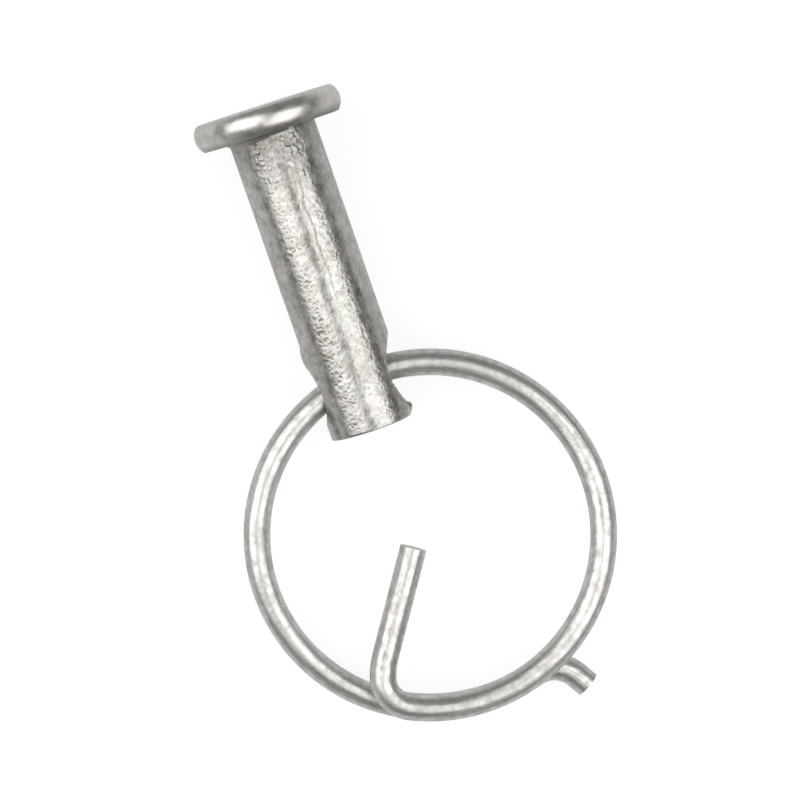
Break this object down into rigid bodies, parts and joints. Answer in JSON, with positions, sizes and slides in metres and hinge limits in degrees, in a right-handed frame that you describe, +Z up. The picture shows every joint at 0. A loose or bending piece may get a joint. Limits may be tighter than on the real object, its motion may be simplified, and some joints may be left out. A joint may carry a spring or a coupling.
{
  "type": "clevis pin",
  "caption": "Headed clevis pin with a dished cross hole near its tip and a loose round-wire ring threaded through the hole.",
  "frame": {"origin": "on the floor, under the middle of the pair's bounding box as it lies at rest", "axes": "+X runs along the pin in plan, from the head to the tip; +Z is up; +Y completes the right-handed set"},
  "size_m": [0.0598, 0.0334, 0.0135],
  "materials": {
    "pin_steel": "dull zinc over a pitted skin",
    "ring_steel": "satin drawn wire"
  },
  "bodies": {
    "pin": {"clevis_pin": "pin_steel"},
    "ring": {"retaining_ring": "ring_steel"}
  },
  "joints": [
    {"name": "ring_swing", "type": "hinge", "parent": "pin", "child": "ring", "pos_m": [-0.00323, -0.00155, 0.00435], "axis": [0.1063, -0.9943, 0], "range_deg": [-174, 156]}
  ]
}
